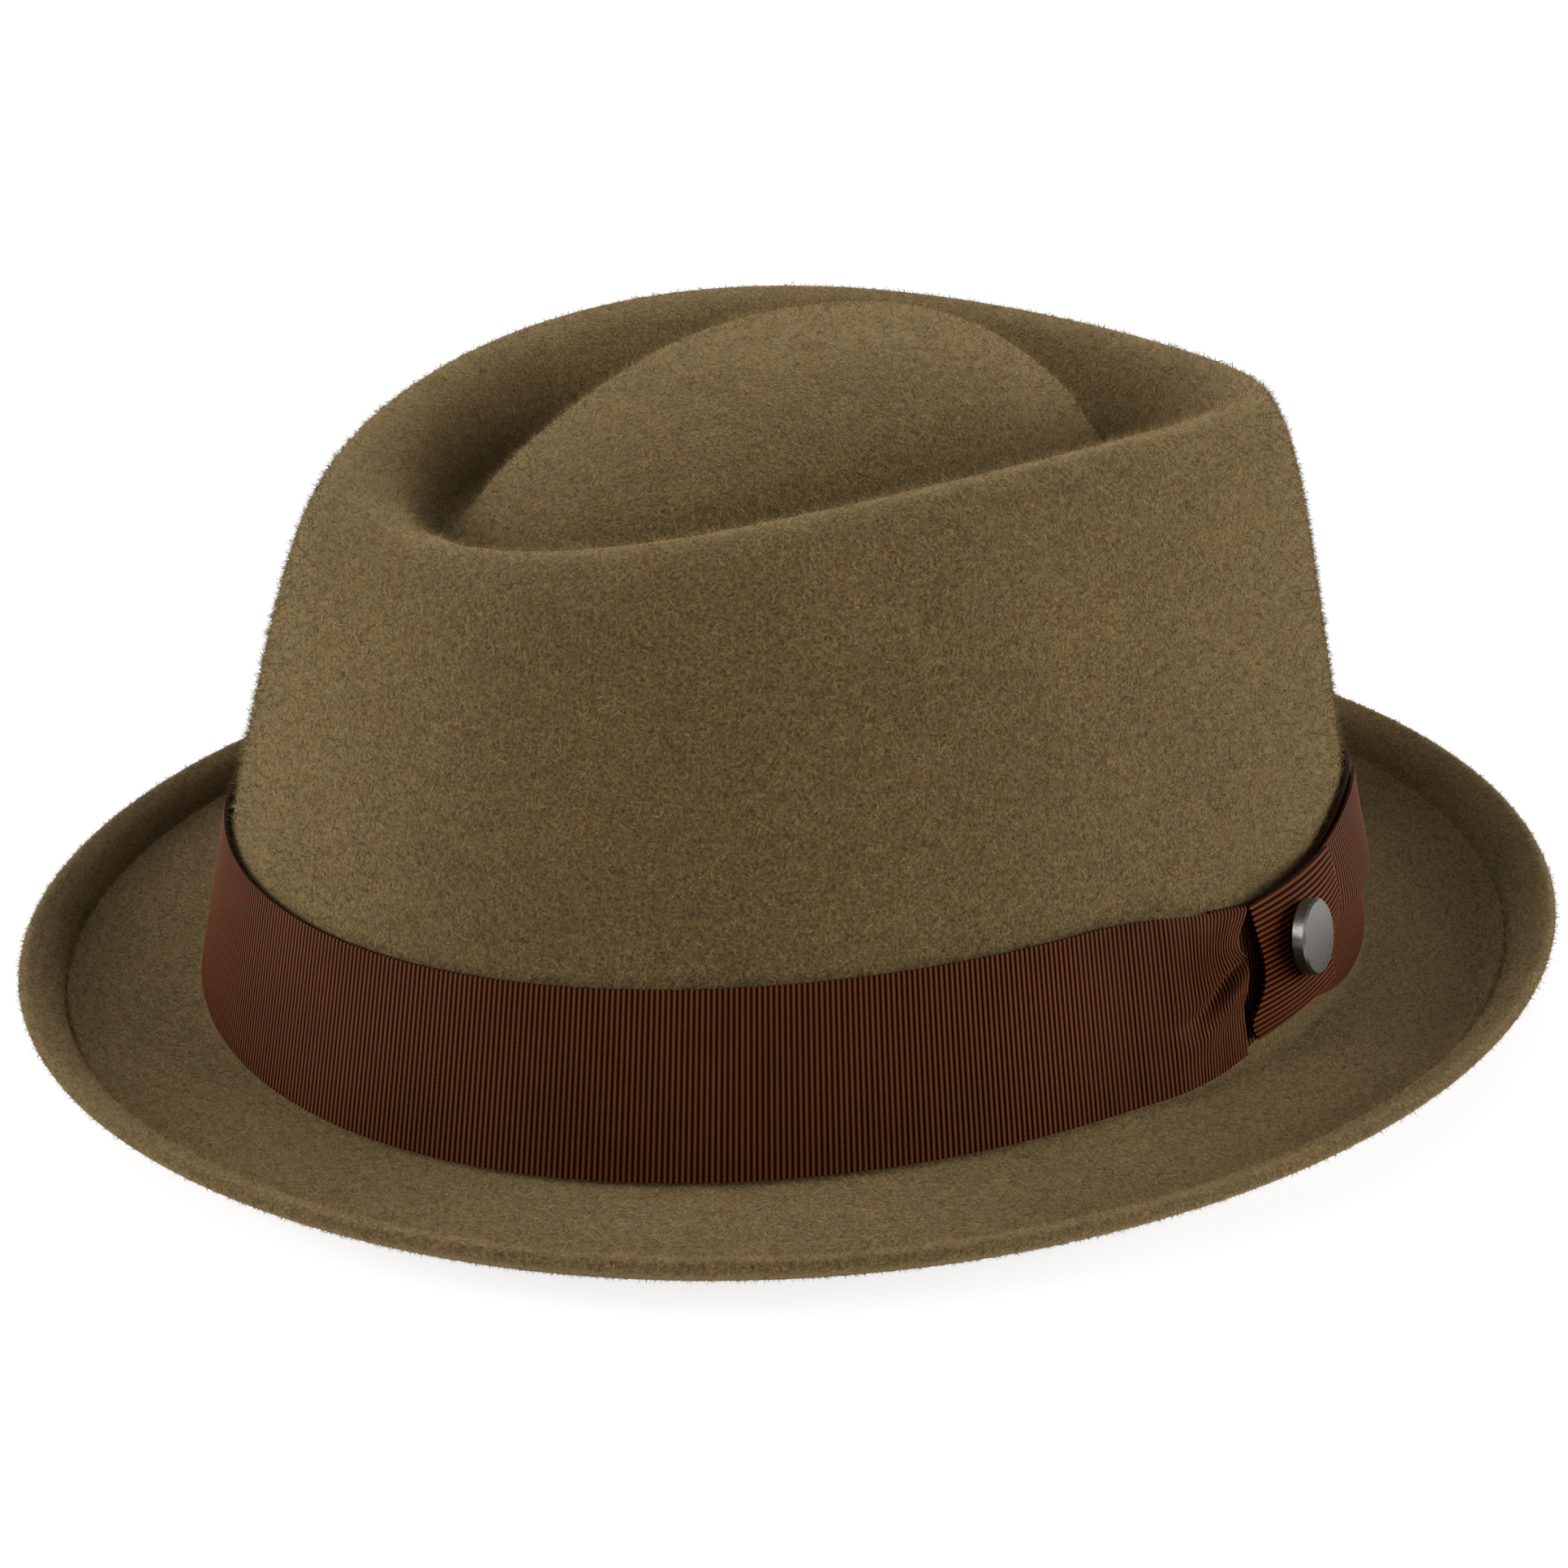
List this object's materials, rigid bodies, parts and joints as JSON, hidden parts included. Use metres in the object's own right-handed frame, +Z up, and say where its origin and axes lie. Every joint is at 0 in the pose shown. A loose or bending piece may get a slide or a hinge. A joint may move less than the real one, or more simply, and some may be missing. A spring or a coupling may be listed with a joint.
{
  "type": "pork pie hat",
  "caption": "Wool felt pork pie hat with a raised crown centre, stitched turned-up brim, ribbed ribbon band and a flat side bow held by a round steel button.",
  "frame": {"origin": "centre of the hat's outline in plan, on the surface that the brim rests on", "axes": "+Z up through the crown, -Y out of the front of the hat, +X towards the wearer's left, where the bow is"},
  "size_m": [0.2232, 0.2508, 0.0999],
  "materials": {
    "wool_felt": "fuzzy nap",
    "ribbon": "ribbed satin sheen",
    "bow_ribbon": "ribbed satin sheen",
    "steel": "satin face, polished rim"
  },
  "bodies": {
    "root": {"felt_body": "wool_felt", "ribbon_band": "ribbon", "bow_front_loop": "ribbon", "bow_knot": "bow_ribbon", "bow_rear_loop": "bow_ribbon", "button": "steel"}
  },
  "joints": []
}
